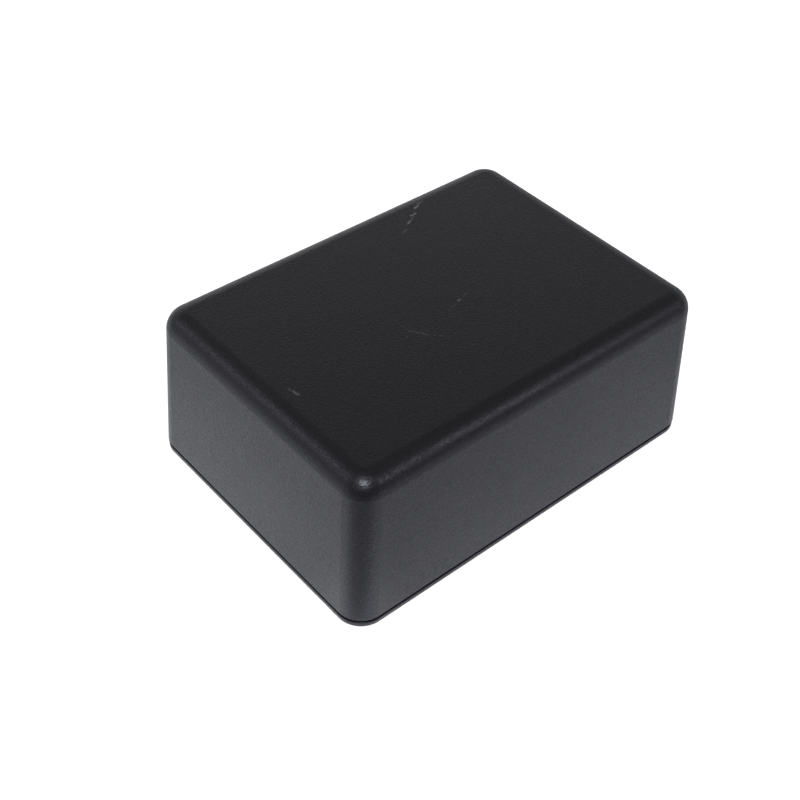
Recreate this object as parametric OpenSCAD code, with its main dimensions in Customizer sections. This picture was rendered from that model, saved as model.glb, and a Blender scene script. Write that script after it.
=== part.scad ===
// Plastic project box. A deep cover, moulded in one piece with leaning walls and
// rounded edges, stands on a flat base lid. A shadow gap runs round between the two.
// Four countersunk screws go up through the lid into posts in the cover's corners.
//
// X runs along the box, Y across it and Z up. The origin is the centre of the lid's
// underside, on which the box stands.

/* [Case] */
// Overall length, measured at the rim of the cover
case_l = 90; // [80:1:150]
// Overall width, measured at the rim of the cover
case_w = 65.3; // [58:0.1:120]
// Overall height, from the underside of the lid to the top of the cover
case_h = 35.4; // [24:0.1:80]
// Lean of each side wall from upright, in degrees
draft = 3; // [1:0.5:4]
// Radius of the four upright corners, the same at every height
corner_r = 5.3; // [4.5:0.1:7]
// Radius of the round along the top edges
top_r = 4.5; // [3:0.1:6]
// Thickness of the side walls
wall = 2.2; // [1.8:0.1:2.8]
// Thickness of the roof
roof = 2.2; // [1.8:0.1:3]

/* [Lid] */
// Height of the lid's visible edge
lid_edge = 1.25; // [1:0.05:3]
// How far the lid's edge stands inside the rim of the cover
lid_inset = 0.05; // [0.05:0.05:0.5]
// Bevel round the underside of the lid
lid_bevel = 0.35; // [0.1:0.05:0.6]
// Small bevel along the upper edge of the lid's plate
lid_break = 0.1; // [0.1:0.05:0.3]
// Height of the shadow gap between the lid's edge and the rim
gap_h = 0.75; // [0.3:0.05:1]
// Depth of the shadow gap, measured in from the lid's edge
gap_depth = 1.2; // [0.6:0.1:1.3]
// Height of the locating rails above the seat of the rim
rail_h = 3; // [2:0.5:5]
// Thickness of the locating rails
rail_t = 1.5; // [1:0.1:2]
// Bevel that leads the rails into the cover
rail_lead = 0.6; // [0.3:0.1:0.8]
// Free space between a rail or corner pad and the cover's wall
rail_clear = 0.15; // [0.1:0.05:0.4]
// Free space between the end of a rail and a corner pad
rail_gap = 1; // [0.5:0.5:3]

/* [Screw posts] */
// Distance from the rim's faces to a screw's axis
post_inset = 7; // [6:0.5:9]
// Width of a screw post
post_d = 7; // [6:0.5:9]
// Height of the end face of a post above the rim
post_rise = 1.7; // [1:0.1:3]
// Free space between the end face of a post and the lid's corner pad
pad_clear = 0.2; // [0.1:0.05:0.4]
// Bore of a post's pilot hole
pilot_d = 2.4; // [2.3:0.05:2.6]
// Free depth left in a pilot hole beyond the point of the screw
pilot_spare = 2.5; // [1:0.5:4]
// Widening at the mouth of a pilot hole
pilot_mouth = 0.4; // [0.2:0.1:0.6]

/* [Screws] */
// Length of a screw, head included
screw_l = 10; // [8:0.5:13]
// Diameter of the countersunk head
head_d = 5.5; // [5:0.1:6]
// Height of the head's upright edge
head_edge = 0.25; // [0.15:0.05:0.4]
// Diameter of the neck that passes through the lid
neck_d = 2.9; // [2.6:0.1:3]
// Core diameter of the threaded stretch
core_d = 2.2; // [2:0.05:2.25]
// Length of the point
point_l = 2; // [1:0.5:3]
// Depth of the head below the lid's underside
head_sink = 0.2; // [0.1:0.05:0.4]
// Free space round the edge of the head and round the neck
screw_clear = 0.2; // [0.1:0.05:0.3]
// Width across the wings of the cross recess
recess_w = 3; // [2.4:0.1:3.4]
// Thickness of a wing of the cross recess
recess_t = 0.7; // [0.5:0.1:0.9]
// Depth of the cross recess
recess_depth = 1.6; // [1.2:0.1:1.9]

/* [Board standoffs] */
// Distance from a screw post to the board standoff, along the length
stand_step_l = 10; // [9:1:14]
// Distance from a screw post to the board standoff, across the width
stand_step_w = 4.65; // [0:0.05:8]
// Diameter of a standoff
stand_d = 6; // [5:0.5:7]
// Height of a standoff below the roof
stand_h = 5; // [3:0.5:8]
// Bore of a standoff's pilot hole
stand_bore = 2.2; // [1.8:0.1:2.6]
// Thickness of roof left above a standoff's pilot hole
stand_skin = 1.4; // [0.8:0.1:1.6]

/* [Card guides] */
// Width of the slot between the two ribs of a guide
slot_w = 1.8; // [1.2:0.1:2.4]
// Thickness of a rib
rib_t = 1.2; // [0.8:0.1:1.6]
// How far a rib stands out from the wall
rib_out = 1.6; // [1:0.1:2.4]
// Number of guides on each long wall
guides_l = 3; // [1:1:3]
// Number of guides on each short wall
guides_w = 2; // [1:1:2]
// Spacing of the guides
guide_pitch = 20; // [10:1:22]
// Free height between a locating rail and the foot of a guide
guide_foot = 1; // [0.5:0.5:4]

/* [Hidden] */
$fn = 96;

// How far cutters and construction blocks run past the faces that they make
past = 1;
// Least stretch of flat top left between an edge's round and its corner's axis
ring_min = 0.5;
// Least round inside the top edges
core_edge_min = 0.5;
// How far a round stands outside the walls that it would only touch, so that it
// crosses them in a clean line
bulge = 0.006;
// How far the round of a top corner stands above the flat top, for the same reason
rise = 0.002;
// Lean of the top form's flanks, which run outside the walls
flank = 15;

case_half = [case_l / 2, case_w / 2];
rim_z = lid_edge + gap_h;
roof_z = case_h - roof;
lean = tan(draft);
wall_level = wall / cos(draft);
edge_r = min(top_r, corner_r - ring_min);
core_corner_r = corner_r - wall;
core_edge_r = max(min(edge_r - roof, core_corner_r - ring_min), core_edge_min);

// Inside faces of the cover, from the centre, at a height above the floor
function inside(z) = case_half - [1, 1] * (wall_level + (z - rim_z) * lean);

rail_top = rim_z + rail_h;
rail_face = inside(rail_top) - [1, 1] * rail_clear;
post_z = rim_z + post_rise;
pad_z = post_z - pad_clear;
pad_half = inside(post_z) - [1, 1] * rail_clear;
screw_at = case_half - [1, 1] * post_inset;
rail_half = screw_at - [1, 1] * (post_d / 2 + rail_gap);
lid_half = case_half - [1, 1] * lid_inset;
lid_corner_r = corner_r - lid_inset;
seat_half = lid_half - [1, 1] * gap_depth;

head_r = head_d / 2;
neck_r = neck_d / 2;
neck_z = head_sink + head_edge + head_r - neck_r;
point_z = head_sink + screw_l;
pilot_top = point_z + pilot_spare;

stand_at = screw_at - [stand_step_l, stand_step_w];
stand_z = roof_z - stand_h;
guide_z = rail_top + guide_foot;

plastic = [0.17, 0.17, 0.18];
plated = [0.75, 0.75, 0.74];

// ---- helpers ----

// Mirrors what is drawn in one corner of the plan into all four
module in_corners() {
    for (mx = [0, 1], my = [0, 1]) mirror([mx, 0, 0]) mirror([0, my, 0]) children();
}

// Stands a flat figure upright and runs it out both ways, along X or along Y
module run_along_x(length) {
    rotate([90, 0, 90]) linear_extrude(height = length, center = true) children();
}

module run_along_y(length) {
    rotate([90, 0, 0]) linear_extrude(height = length, center = true) children();
}

module round_rectangle(half, r) {
    square([half[0] * 2, (half[1] - r) * 2], center = true);
    square([(half[0] - r) * 2, half[1] * 2], center = true);
    in_corners() translate([half[0] - r, half[1] - r]) circle(r = r);
}

module upright_block(half, low, high) {
    translate([-half[0], -half[1], low]) cube([half[0] * 2, half[1] * 2, high - low]);
}

// Rounds the corners of whatever it is crossed with, at four upright axes. The corners
// are what is drawn about one axis, and between them the form reaches past `half`.
module corner_form(half, axis, low, high) {
    upright_block([half[0] + past, axis[1]], low, high);
    upright_block([axis[0], half[1] + past], low, high);
    in_corners() translate([axis[0] + bulge, axis[1] + bulge, 0]) children();
}

// ---- the drafted form that the cover and the core inside it share ----

module leaning_section(half, low, high) {
    polygon([
        [lean * low - half, low], [half - lean * low, low],
        [half - lean * high, high], [lean * high - half, high]
    ]);
}

// A block with four leaning walls, whose distances from the centre at z = 0 are `half`
module leaning_block(half, low, high) {
    intersection() {
        run_along_x(case_l * 2) leaning_section(half[1], low, high);
        run_along_y(case_l * 2) leaning_section(half[0], low, high);
    }
}

// Rounds the upright corners of such a block. Each corner is a round rod that touches
// both of its walls and leans with the edge in which they would meet. Between the
// rods the form lies outside the block.
module corner_rods(half, low, high, corner) {
    between = half - [1, 1] * corner;
    axis = half + [1, 1] * (bulge - corner / cos(draft));
    tilt = atan(lean * sqrt(2));
    leaning_block([half[0] + past, between[1]], low, high);
    leaning_block([between[0], half[1] + past], low, high);
    in_corners() translate([axis[0], axis[1], 0]) rotate([0, 0, 45]) rotate([0, -tilt, 0])
        translate([0, 0, low - past]) cylinder(h = high - low + 2 * past, r = corner);
}

// Section across the box under its top: on each side an arc, which crosses the leaning
// wall, and below it a flank that runs down outside the wall
module top_section(reach, height, r) {
    flank_x = reach + r * cos(draft);
    flank_z = height - r + r * sin(draft);
    foot_x = flank_x + (flank_z + past) * tan(flank);
    for (m = [0, 1]) mirror([m, 0]) {
        polygon([
            [-past, -past], [foot_x, -past], [flank_x, flank_z], [reach, height - r],
            [reach, height], [-past, height]
        ]);
        intersection() {
            translate([reach, height - r]) circle(r = r);
            translate([reach - past, height - r]) square([r + 2 * past, r]);
        }
    }
}

// The same section turned about the axis of a corner, with its arc a little higher, so
// that it crosses the flat top. `ring` is the flat part between that axis and the arc.
module top_corner(ring, height, r) {
    rotate_extrude() {
        arc_z = height - r + rise;
        flank_x = ring + r * cos(draft);
        flank_z = arc_z + r * sin(draft);
        polygon([
            [0, -past], [flank_x + (flank_z + past) * tan(flank), -past],
            [flank_x, flank_z], [ring, arc_z], [ring, arc_z + r], [0, arc_z + r]
        ]);
        intersection() {
            translate([ring, arc_z]) circle(r = r);
            translate([0, arc_z]) square([ring + 2 * r, r]);
        }
    }
}

// The drafted form: leaning walls, upright corners and the round along the top
module drafted_form(half, height, corner, r) {
    ring = (corner - r) / cos(draft);
    reach = half + [1, 1] * (bulge - lean * (height - r) - r / cos(draft));
    intersection() {
        leaning_block(half, 0, height + past);
        corner_rods(half, -past, height + past, corner);
        run_along_x(case_l * 2) top_section(reach[1], height, r);
        run_along_y(case_l * 2) top_section(reach[0], height, r);
        corner_form(half, reach - [1, 1] * ring, -past, height + past)
            top_corner(ring, height, r);
    }
}

// ---- cover ----

// Plan of a post: round towards the middle of the box, square into the corner
module post_plan() {
    translate(screw_at) {
        circle(d = post_d);
        translate([-post_d / 2, 0]) square([post_d / 2 + post_inset, post_inset]);
        translate([0, -post_d / 2]) square([post_inset, post_d / 2 + post_inset]);
    }
}

// A guide on the wall that faces +X: two ribs that lean with the wall
module card_guide(reach) {
    translate([reach, 0, guide_z]) rotate([0, -draft, 0])
        for (m = [0, 1]) mirror([0, m, 0])
            translate([-rib_out, slot_w / 2, 0])
                cube([rib_out + wall / 2, rib_t, case_h]);
}

module guide_row(reach, count) {
    for (i = [0 : count - 1])
        translate([0, (i - (count - 1) / 2) * guide_pitch, 0]) card_guide(reach);
}

// The space inside the cover, with the posts, standoffs and ribs left out of it
module core() {
    difference() {
        translate([0, 0, rim_z - past])
            drafted_form(inside(rim_z - past), roof_z - rim_z + past,
                core_corner_r, core_edge_r);
        in_corners() translate([0, 0, post_z]) linear_extrude(case_h) post_plan();
        in_corners() translate([stand_at[0], stand_at[1], stand_z])
            cylinder(h = case_h, d = stand_d);
        for (turn = [0, 180]) rotate(turn) {
            guide_row(inside(guide_z)[0], guides_w);
            rotate(90) guide_row(inside(guide_z)[1], guides_l);
        }
    }
}

module post_hole() {
    translate([0, 0, post_z - past]) cylinder(h = pilot_top - post_z + past, d = pilot_d);
    translate([0, 0, post_z])
        cylinder(h = pilot_mouth, d1 = pilot_d + 2 * pilot_mouth, d2 = pilot_d);
}

module cover_shell() {
    color(plastic) difference() {
        translate([0, 0, rim_z])
            drafted_form(case_half, case_h - rim_z, corner_r, edge_r);
        core();
        in_corners() translate([screw_at[0], screw_at[1], 0]) post_hole();
        in_corners() translate([stand_at[0], stand_at[1], stand_z - past])
            cylinder(h = case_h - stand_skin - stand_z + past, d = stand_bore);
    }
}

// ---- lid ----

// Section across the lid's plate, bevelled along both edges
module plate_section(reach) {
    for (m = [0, 1]) mirror([m, 0]) polygon([
        [-past, 0], [reach - lid_bevel, 0], [reach, lid_bevel],
        [reach, lid_edge - lid_break], [reach - lid_break, lid_edge], [-past, lid_edge]
    ]);
}

module plate_corner() {
    r = lid_corner_r;
    rotate_extrude() polygon([
        [0, -past], [r - lid_bevel - past, -past], [r, lid_bevel],
        [r, lid_edge - lid_break], [r - lid_break - past, lid_edge + past],
        [0, lid_edge + past]
    ]);
}

module lid_plate() {
    intersection() {
        run_along_x(case_l * 2) plate_section(lid_half[1]);
        run_along_y(case_l * 2) plate_section(lid_half[0]);
        corner_form(lid_half, lid_half - [1, 1] * lid_corner_r, -past, lid_edge + past)
            plate_corner();
    }
}

// Section of a rail, whose outer face is at x = 0
module rail_section() {
    polygon([
        [-rail_t, 0], [0, 0], [0, rail_h - rail_lead], [-rail_lead, rail_h],
        [-rail_t, rail_h]
    ]);
}

// Countersink, which takes the cone of the head, and the clearance hole for the neck
module lid_screw_hole() {
    mouth_r = head_r + screw_clear;
    hole_r = neck_r + screw_clear;
    cone_z = head_sink + head_edge - screw_clear;
    translate([0, 0, -past]) cylinder(h = cone_z + past, r = mouth_r);
    translate([0, 0, cone_z]) cylinder(h = mouth_r - hole_r, r1 = mouth_r, r2 = hole_r);
    cylinder(h = pad_z + past, r = hole_r);
}

module base_lid() {
    color(plastic) difference() {
        union() {
            lid_plate();
            translate([0, 0, lid_edge / 2]) linear_extrude(rim_z - lid_edge / 2)
                round_rectangle(seat_half, lid_corner_r - gap_depth);
            in_corners() translate([0, 0, lid_edge / 2])
                linear_extrude(pad_z - lid_edge / 2) intersection() {
                    post_plan();
                    round_rectangle(pad_half, core_corner_r - rail_clear);
                }
            for (turn = [0, 180]) rotate(turn) translate([0, 0, rim_z]) {
                run_along_y(rail_half[1] * 2) translate([rail_face[0], 0]) rail_section();
                run_along_x(rail_half[0] * 2) translate([rail_face[1], 0]) rail_section();
            }
        }
        in_corners() translate([screw_at[0], screw_at[1], 0]) lid_screw_hole();
    }
}

// ---- screws ----

module cross_recess() {
    intersection() {
        translate([0, 0, -past])
            cylinder(h = recess_depth + past, r1 = recess_w / 2 + past, r2 = recess_t / 2);
        for (turn = [0, 90]) rotate(turn)
            translate([-recess_w / 2, -recess_t / 2, -past])
                cube([recess_w, recess_t, recess_depth + past]);
    }
}

module screw() {
    difference() {
        rotate_extrude() polygon([
            [0, head_sink], [head_r, head_sink], [head_r, head_sink + head_edge],
            [neck_r, neck_z], [neck_r, pad_z], [core_d / 2, pad_z],
            [core_d / 2, point_z - point_l], [0, point_z]
        ]);
        translate([0, 0, head_sink]) cross_recess();
    }
}

module lid_screws() {
    color(plated) in_corners() translate([screw_at[0], screw_at[1], 0]) screw();
}

cover_shell();
base_lid();
lid_screws();
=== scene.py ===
from math import cos, radians, sin

import bpy
from mathutils import Matrix, Vector


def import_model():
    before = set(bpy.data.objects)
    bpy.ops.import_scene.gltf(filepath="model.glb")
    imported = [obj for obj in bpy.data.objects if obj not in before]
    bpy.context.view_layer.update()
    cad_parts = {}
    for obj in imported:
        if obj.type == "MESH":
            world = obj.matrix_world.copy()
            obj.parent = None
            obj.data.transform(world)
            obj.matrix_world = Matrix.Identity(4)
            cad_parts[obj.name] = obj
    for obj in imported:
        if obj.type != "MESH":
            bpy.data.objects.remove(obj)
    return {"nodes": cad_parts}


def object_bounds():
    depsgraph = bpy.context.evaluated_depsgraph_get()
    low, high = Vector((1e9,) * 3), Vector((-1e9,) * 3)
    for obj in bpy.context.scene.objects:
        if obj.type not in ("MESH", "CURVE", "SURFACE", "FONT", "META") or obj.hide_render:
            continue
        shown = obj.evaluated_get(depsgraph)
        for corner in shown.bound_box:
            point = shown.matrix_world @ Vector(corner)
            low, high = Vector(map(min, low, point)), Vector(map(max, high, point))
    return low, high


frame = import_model()
cad_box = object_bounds()
scene = bpy.context.scene

# The camera, the floor's sheet and the lamps are in metres. The materials and the
# floor's brightness work in millimetres, because their details are that small.
MM_PER_M = 1000
HALF_LENGTH, HALF_WIDTH, TOP = [MM_PER_M * size for size in cad_box[1]]


# ---- camera ------------------------------------------------------------------

CAMERA_PLACE = (-0.13536, -0.14111, 0.19052)
AZIMUTH, ELEVATION, ROLL = radians(-42.186), radians(42.962), radians(2.636)
SENSOR_WIDTH, FOCAL_LENGTH = 36, 57.91
NEAREST, FARTHEST = 0.01, 10


def camera():
    """The photo's viewpoint, with the picture's axes worked out from three angles."""
    data = bpy.data.cameras.new("camera")
    data.sensor_width = SENSOR_WIDTH
    data.lens = FOCAL_LENGTH
    data.clip_start = NEAREST
    data.clip_end = FARTHEST
    made = bpy.data.objects.new("camera", data)
    scene.collection.objects.link(made)
    back = Vector((sin(AZIMUTH) * cos(ELEVATION), -cos(AZIMUTH) * cos(ELEVATION), sin(ELEVATION)))
    level = Vector((cos(AZIMUTH), sin(AZIMUTH), 0))
    right = cos(ROLL) * level + sin(ROLL) * back.cross(level)
    up = back.cross(right)
    made.location = CAMERA_PLACE
    made.rotation_euler = Matrix((right, up, back)).transposed().to_euler()
    scene.camera = made


# ---- small helpers for node trees --------------------------------------------

class Tree:
    """A material's or world's node tree, with short ways to add and join nodes."""

    def __init__(self, tree):
        self.tree = tree
        tree.nodes.clear()

    def add(self, kind, values=None, **settings):
        """A new node. Each value is a number, a colour or another node's output."""
        node = self.tree.nodes.new(kind)
        for name, value in settings.items():
            setattr(node, name, value)
        for key, value in (values or {}).items():
            if isinstance(value, bpy.types.NodeSocket):
                self.tree.links.new(value, node.inputs[key])
            else:
                node.inputs[key].default_value = value
        return node

    def math(self, operation, a, b=0.0, c=0.0, clamp=False):
        node = self.add("ShaderNodeMath", {0: a, 1: b, 2: c}, operation=operation, use_clamp=clamp)
        return node.outputs[0]

    def vector(self, operation, a, b=(0, 0, 0), c=(0, 0, 0)):
        node = self.add("ShaderNodeVectorMath", {0: a, 1: b, 2: c}, operation=operation)
        return node.outputs["Vector"]

    def along(self, vector, direction):
        """The part of a vector that lies along a direction."""
        node = self.add("ShaderNodeVectorMath", {0: vector, 1: direction}, operation="DOT_PRODUCT")
        return node.outputs["Value"]

    def line(self, value, low, high, to_low, to_high, kind="LINEAR"):
        """From to_low at low to to_high at high, and level beyond the two."""
        node = self.add("ShaderNodeMapRange", {"Value": value, "From Min": low, "From Max": high,
                                               "To Min": to_low, "To Max": to_high},
                        interpolation_type=kind)
        return node.outputs["Result"]

    def smooth(self, value, low, high, to_low=0.0, to_high=1.0):
        """Like line, but with soft ends."""
        return self.line(value, low, high, to_low, to_high, "SMOOTHSTEP")

    def noise(self, vector, scale, detail, rough):
        node = self.add("ShaderNodeTexNoise", {"Vector": vector, "Scale": scale, "Detail": detail,
                                               "Roughness": rough})
        return node.outputs["Fac"]

    def blend(self, share, a, b):
        """Two numbers mixed by a share from 0 to 1."""
        return self.add("ShaderNodeMix", {0: share, 2: a, 3: b}, data_type="FLOAT").outputs[0]

    def tint(self, share, a, b):
        """Two colours mixed by a share from 0 to 1."""
        return self.add("ShaderNodeMix", {0: share, 6: a, 7: b}, data_type="RGBA").outputs[2]

    def place(self):
        """The place on the object, in millimetres."""
        metres = self.add("ShaderNodeTexCoord").outputs["Object"]
        return self.vector("MULTIPLY", metres, (MM_PER_M, MM_PER_M, MM_PER_M))

    def relief(self, height, distance, strength, edge_radius, edge_samples):
        """The surface's direction, with its edges softened and a relief on it."""
        edge = self.add("ShaderNodeBevel", {"Radius": edge_radius}, samples=edge_samples)
        bump = self.add("ShaderNodeBump", {"Strength": strength, "Distance": distance,
                                           "Height": height, "Normal": edge.outputs[0]})
        return bump.outputs[0]


WHITE = (1, 1, 1, 1)


def material(name):
    made = bpy.data.materials.new(name)
    made.use_nodes = True
    return made, Tree(made.node_tree)


# ---- black moulded plastic ---------------------------------------------------

# The grain is rounded pits of about 0.4 mm with finer ones between them. Each noise
# has its bumps per millimetre, its detail and its roughness.
PITS_PER_MM = 2.5
FINE_PITS = (4.2, 2.0, 0.55)
SPECKS = (3.0, 2.0, 0.6)
CLOUDS = (0.09, 3.0, 0.55)
PIT_DEPTH, FINE_DEPTH = 0.035, 0.025
PLASTIC_EDGE, PLASTIC_EDGE_SAMPLES = 0.0002, 6  # radius in metres

DEEP_BLACK = (0.004, 0.004, 0.0055, 1)
SOFT_BLACK = (0.012, 0.012, 0.014, 1)
WORN_GREY = (0.2, 0.205, 0.21, 1)
GLOSS_TINT = (0.87, 0.88, 1, 1)
PLASTIC_IOR = 1.5

# A ramp runs from its first to its second value, and what it gives from its third to
# its fourth, or from 0 to 1.
SPECK_TONE = (0.35, 0.65)
SPECK_ROUGHNESS = (0.35, 0.65, 0.07, -0.08)
CLOUD_ROUGHNESS = (0.25, 0.75, 0.36, 0.39)
WORN_ROUGHNESS = 0.25

# Dust: at most one speck in each cell of 5 mm, about 0.3 mm across.
DUST_CELLS_PER_MM = 0.2
DUST_SPECK = (0.02, 0.035, 1.0, 0.0)
DUST_CHOICE = (0.45, 0.9)
DUST_STRENGTH = 0.4

# Wear on the cover: strokes between two points, in millimetres, with their half-width
# and strength. A row of scuffs near the back edge, one scuff near the left edge, two
# faint arcs in the middle and a hairline scratch on the long side.
WEAR = (
    ((9.5, 20.3, TOP), (10.9, 20.8, TOP), 0.26, 0.3),
    ((12.5, 22.1, TOP), (13.4, 22.5, TOP), 0.3, 0.55),
    ((13.4, 22.5, TOP), (15.0, 23.3, TOP), 0.24, 0.25),
    ((15.0, 23.9, TOP), (16.3, 24.0, TOP), 0.34, 0.6),
    ((17.3, 25.6, TOP), (18.5, 25.8, TOP), 0.34, 0.65),
    ((18.9, 26.4, TOP), (20.3, 26.4, TOP), 0.28, 0.4),
    ((-37.3, -3.2, TOP), (-37.0, -4.2, TOP), 0.3, 0.15),
    ((-37.0, -4.2, TOP), (-36.7, -5.5, TOP), 0.36, 0.3),
    ((-10.0, 0, TOP), (-9.9, -4.1, TOP), 0.13, 0.16),
    ((-9.9, -4.1, TOP), (-7.7, -7.4, TOP), 0.14, 0.24),
    ((-7.7, -7.4, TOP), (-5.4, -9.5, TOP), 0.12, 0.18),
    ((-8.3, -6.3, TOP), (-8.1, -6.6, TOP), 0.2, 0.3),
    ((-0.1, -4.4, TOP), (3.8, -3.2, TOP), 0.12, 0.13),
    ((3.6, -3.3, TOP), (4.1, -3.1, TOP), 0.3, 0.4),
    ((4.6, -3.0, TOP), (8.1, -2.1, TOP), 0.12, 0.15),
    ((5.8, -2.7, TOP), (6.1, -2.6, TOP), 0.2, 0.2),
    ((27.2, -31.7, 18.8), (27.0, -32.1, 11.2), 0.14, 0.12),
)
WEAR_LEVEL = 0.75
WEAR_CORE = 0.3    # share of the half-width that is worn in full
WEAR_WOBBLE = 0.7  # millimetres
WOBBLES_PER_MM = 1.4


def worn(t, place):
    """How worn the cover is at a place, from 0 to 1: the strongest stroke there."""
    noise = t.add("ShaderNodeTexNoise", {"Vector": place, "Scale": WOBBLES_PER_MM, "Detail": 2.0})
    wobble = t.vector("SUBTRACT", noise.outputs["Color"], (0.5, 0.5, 0.5))
    place = t.vector("MULTIPLY_ADD", wobble, (WEAR_WOBBLE, WEAR_WOBBLE, WEAR_WOBBLE), place)
    most = 0.0
    for start, end, half_width, strength in WEAR:
        stroke = Vector(end) - Vector(start)
        off = t.vector("SUBTRACT", place, start)
        share = t.along(off, stroke / stroke.length_squared)
        share = t.math("ADD", share, 0.0, clamp=True)
        foot = t.add("ShaderNodeVectorMath", {0: stroke, "Scale": share}, operation="SCALE")
        away = t.add("ShaderNodeVectorMath", {0: off, 1: foot.outputs["Vector"]}, operation="DISTANCE")
        mark = t.smooth(away.outputs["Value"], half_width * WEAR_CORE, half_width,
                        strength * WEAR_LEVEL, 0.0)
        most = t.math("MAXIMUM", mark, most)
    return most


def dusty(t, place):
    """How much dust lies at a place. Some cells hold a faint speck or none."""
    cells = t.add("ShaderNodeTexVoronoi", {"Vector": place, "Scale": DUST_CELLS_PER_MM})
    speck = t.smooth(cells.outputs["Distance"], *DUST_SPECK)
    lot = t.add("ShaderNodeSeparateColor", {0: cells.outputs["Color"]}).outputs[0]
    chosen = t.smooth(lot, *DUST_CHOICE)
    return t.math("MULTIPLY", speck, t.math("MULTIPLY", chosen, DUST_STRENGTH))


def plastic(name, with_wear):
    """Black ABS with a spark-eroded grain and a little dust."""
    made, t = material(name)
    place = t.place()
    pits = t.add("ShaderNodeTexVoronoi", {"Vector": place, "Scale": PITS_PER_MM},
                 feature="SMOOTH_F1").outputs["Distance"]
    fine = t.noise(place, *FINE_PITS)
    speck = t.noise(place, *SPECKS)
    cloud = t.noise(place, *CLOUDS)
    height = t.math("ADD", t.math("MULTIPLY", pits, PIT_DEPTH), t.math("MULTIPLY", fine, FINE_DEPTH))
    tone = t.tint(t.smooth(speck, *SPECK_TONE), DEEP_BLACK, SOFT_BLACK)
    rough = t.math("ADD", t.smooth(cloud, *CLOUD_ROUGHNESS), t.smooth(speck, *SPECK_ROUGHNESS))

    pale = dusty(t, place)
    if with_wear:
        pale = t.math("MAXIMUM", pale, worn(t, place))
    tone = t.tint(pale, tone, WORN_GREY)
    rough = t.math("MULTIPLY_ADD", pale, WORN_ROUGHNESS, rough)

    normal = t.relief(height, 1 / MM_PER_M, 1.0, PLASTIC_EDGE, PLASTIC_EDGE_SAMPLES)
    shader = t.add("ShaderNodeBsdfPrincipled", {"Base Color": tone, "Roughness": rough,
                                                "Normal": normal})
    shader.inputs["IOR"].default_value = PLASTIC_IOR
    shader.inputs["Specular Tint"].default_value = GLOSS_TINT
    t.add("ShaderNodeOutputMaterial", {"Surface": shader.outputs[0]})
    return made


# ---- zinc-plated screws ------------------------------------------------------

DULL_ZINC = (0.52, 0.52, 0.51, 1)
BRIGHT_ZINC = (0.64, 0.63, 0.6, 1)
ZINC_CLOUDS = (0.8, 3.0, 0.6)
ZINC_RINGS = (3.0, 2.0, 0.5)
RING_SQUEEZE = (1, 1, 6)
ZINC_TONE = (0.3, 0.7)
CLOUD_DULLNESS = (0.3, 0.7, 0.28, 0.4)
RING_DULLNESS = (0.3, 0.7, 0.0, 0.06)
RING_DEPTH, RING_STRENGTH = 0.00002, 0.3  # depth in metres
ZINC_EDGE, ZINC_EDGE_SAMPLES = 0.0001, 4  # radius in metres


def zinc(name):
    """Bright zinc plate over turned steel, with fine rings round the screw."""
    made, t = material(name)
    place = t.place()
    cloud = t.noise(place, *ZINC_CLOUDS)
    rings = t.noise(t.vector("MULTIPLY", place, RING_SQUEEZE), *ZINC_RINGS)
    tone = t.tint(t.smooth(cloud, *ZINC_TONE), DULL_ZINC, BRIGHT_ZINC)
    rough = t.math("ADD", t.smooth(cloud, *CLOUD_DULLNESS), t.smooth(rings, *RING_DULLNESS))
    normal = t.relief(rings, RING_DEPTH, RING_STRENGTH, ZINC_EDGE, ZINC_EDGE_SAMPLES)
    shader = t.add("ShaderNodeBsdfPrincipled", {"Base Color": tone, "Roughness": rough,
                                                "Normal": normal})
    shader.inputs["Metallic"].default_value = 1.0
    t.add("ShaderNodeOutputMaterial", {"Surface": shader.outputs[0]})
    return made


def dress(node, made):
    for slot in frame["nodes"][node].material_slots:
        slot.material = made


# ---- floor -------------------------------------------------------------------

FLOOR_HALF = 2.0      # metres
FLOOR_DROP = 0.00002  # metres below the lid's underside
PAPER = (0.8, 0.8, 0.8, 1)
GLOW = 0.45           # lifts the lit paper to white for the camera
# the colour of the floor's painted reflection
PAINTED_REFLECTION_WHITE = (0.94, 0.95, 1, 1)

# Two sides bound the sector of painted shade, which starts at the near corner.
TO_THE_RIGHT = (0.741, -0.672, 0)
NEAR_CORNER = (-45, -31, 0)
PAINTED_SHADE_BEYOND = ((-0.208, -0.978, 0), (-0.99, -0.14, 0))

# Ramps in millimetres for the floor's painted reflection: two by the distance from the box,
# which paint a pool of light round it, one along the way to the right, and three by the
# depth inside the sector of painted shade, with a painted bright rim at its edge.
CLOSE_TO_BOX = (0, 25, 0.27, 0.0)
FAR_FROM_BOX = (30, 75, 0.9, 0.8)
RIGHTWARDS = (-45, 35, 1.0, 0.8)
SECTOR_RIM = (-16, -2, 1.0, 1.33)
SECTOR_EDGE = (-2, 4, 1.0, 0.52)
SECTOR_DEPTH = (10, 110, 1.0, 0.05)


def painted_reflection_level(t, place):
    """The strength of the floor's painted reflection, a glow that only gloss sees:
    brightest round the box, dimmer towards the right, and painted shade in the sector
    before the near corner."""
    beside = t.vector("SUBTRACT", t.vector("ABSOLUTE", place), (HALF_LENGTH, HALF_WIDTH, 0))
    beside = t.vector("MAXIMUM", beside)
    reach = t.add("ShaderNodeVectorMath", {0: beside}, operation="LENGTH").outputs["Value"]
    level = t.math("ADD", t.line(reach, *CLOSE_TO_BOX), t.line(reach, *FAR_FROM_BOX))
    level = t.math("MULTIPLY", level, t.line(t.along(place, TO_THE_RIGHT), *RIGHTWARDS))

    # painted shade: the reflection is dark in the sector before the near corner
    from_corner = t.vector("SUBTRACT", place, NEAR_CORNER)
    inside = t.math("MINIMUM", *[t.along(from_corner, side) for side in PAINTED_SHADE_BEYOND])
    level = t.math("MULTIPLY", level, t.smooth(inside, *SECTOR_RIM))
    level = t.math("MULTIPLY", level, t.smooth(inside, *SECTOR_EDGE))
    return t.math("MULTIPLY", level, t.line(inside, *SECTOR_DEPTH))


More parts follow.
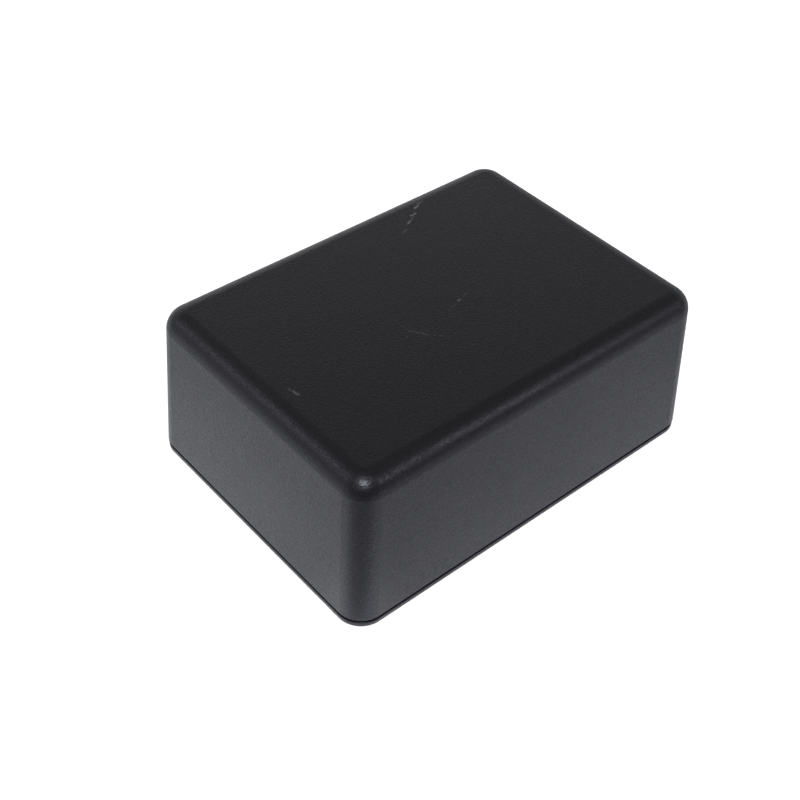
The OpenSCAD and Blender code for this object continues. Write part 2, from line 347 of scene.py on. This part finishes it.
def floor():
    """White paper, seen from above only, so that the underside can be looked at. Gloss sees
    a painted reflection on it in place of the paper.
    """
    mesh = bpy.data.meshes.new("floor")
    far, low = FLOOR_HALF, -FLOOR_DROP
    mesh.from_pydata([(-far, -far, low), (far, -far, low), (far, far, low), (-far, far, low)],
                     [], [(0, 1, 2, 3)])
    made = bpy.data.objects.new("floor", mesh)
    scene.collection.objects.link(made)
    paint, t = material("floor_white")
    paper = t.add("ShaderNodeBsdfDiffuse", {"Color": PAPER})
    glow = t.add("ShaderNodeEmission", {"Color": WHITE, "Strength": GLOW})
    seen = t.add("ShaderNodeAddShader", {0: paper.outputs[0], 1: glow.outputs[0]})
    # painted reflection: a glow that only gloss sees, brighter round the box, with a sector of painted
    # shade
    gloss = t.add("ShaderNodeEmission", {"Color": PAINTED_REFLECTION_WHITE, "Strength": painted_reflection_level(t, t.place())})

    path = t.add("ShaderNodeLightPath")
    sheet = t.add("ShaderNodeMixShader", {0: path.outputs["Is Camera Ray"], 1: paper.outputs[0],
                                          2: seen.outputs[0]})
    # gloss sees the painted reflection in place of the paper
    sheet = t.add("ShaderNodeMixShader", {0: path.outputs["Is Glossy Ray"], 1: sheet.outputs[0],
                                          2: gloss.outputs[0]})
    under = t.add("ShaderNodeNewGeometry").outputs["Backfacing"]
    clear = t.add("ShaderNodeBsdfTransparent")
    sheet = t.add("ShaderNodeMixShader", {0: under, 1: sheet.outputs[0], 2: clear.outputs[0]})
    t.add("ShaderNodeOutputMaterial", {"Surface": sheet.outputs[0]})
    mesh.materials.append(paint)


# ---- world -------------------------------------------------------------------

# Directions from the box to the parts of the room that the plastic mirrors.
BACK_WALL = (0.35, 0.94, 0)
LEFT_WALL = (-0.6, 0.8, 0)
WINDOW = (0.69, 0.72, 0)

# Ramps by how far a direction points at a part, and by its height.
WALL_LEVEL = (-1.0, 0.3, 0.02, 0.36)
LEFT_LEVEL = (-0.02, 0.25, 0.7, 1.0)
WINDOW_SIDES = (0.5, 0.8)
WINDOW_TOP = (0.58, 0.48)
CEILING_EDGE = (0.48, 0.8)
CEILING_LEVEL = 0.07
DIFFUSE_LEVEL = 0.6


def room(t, way):
    """How bright the room is in a direction: pale behind the box with a window at
    the right, dim above and dark behind the camera."""
    height = t.add("ShaderNodeSeparateXYZ", {0: way}).outputs[2]
    wall = t.smooth(t.along(way, BACK_WALL), *WALL_LEVEL)
    wall = t.math("MULTIPLY", wall, t.line(t.along(way, LEFT_WALL), *LEFT_LEVEL))
    window = t.math("MULTIPLY", t.smooth(height, *WINDOW_TOP),
                    t.smooth(t.along(way, WINDOW), *WINDOW_SIDES))
    wall = t.math("MULTIPLY", wall, t.math("ADD", window, 1.0))
    return t.blend(t.smooth(height, *CEILING_EDGE), wall, CEILING_LEVEL)


def world():
    """The room for gloss, an even light for dull surfaces and white for the camera."""
    made = bpy.data.worlds.new("studio")
    made.use_nodes = True
    scene.world = made
    t = Tree(made.node_tree)
    path = t.add("ShaderNodeLightPath")
    level = room(t, t.add("ShaderNodeTexCoord").outputs["Generated"])
    level = t.blend(path.outputs["Is Diffuse Ray"], level, DIFFUSE_LEVEL)
    level = t.blend(path.outputs["Is Camera Ray"], level, 1.0)
    back = t.add("ShaderNodeBackground", {"Color": WHITE, "Strength": level})
    t.add("ShaderNodeOutputWorld", {"Surface": back.outputs[0]})


# ---- lamps -------------------------------------------------------------------

# Name, place, width of the disk and power in watts. The front lamp makes the spot on
# the near corner, and the other two the streaks along the rounds of the top.
LAMPS = (
    ("front_lamp", (-0.27, -0.27, 0.50), 0.19, 1.9),
    ("left_lamp", (-0.37, 0.30, 0.35), 0.22, 0.17),
    ("right_lamp", (0.285, -0.43, 0.345), 0.22, 0.33),
)
LAMP_TARGET = (0, 0, 0.015)


def lamp(name, place, width, power):
    data = bpy.data.lights.new(name, "AREA")
    data.shape = "DISK"
    data.size = width
    data.energy = power
    made = bpy.data.objects.new(name, data)
    scene.collection.objects.link(made)
    made.location = place
    made.rotation_euler = (Vector(LAMP_TARGET) - Vector(place)).to_track_quat("-Z", "Y").to_euler()


# ---- the scene ---------------------------------------------------------------

camera()
dress("cover_shell", plastic("cover_grain", True))
dress("base_lid", plastic("lid_grain", False))
dress("lid_screws", zinc("zinc_plate"))
floor()
world()
for name, place, width, power in LAMPS:
    lamp(name, place, width, power)

scene.view_settings.view_transform = "Standard"
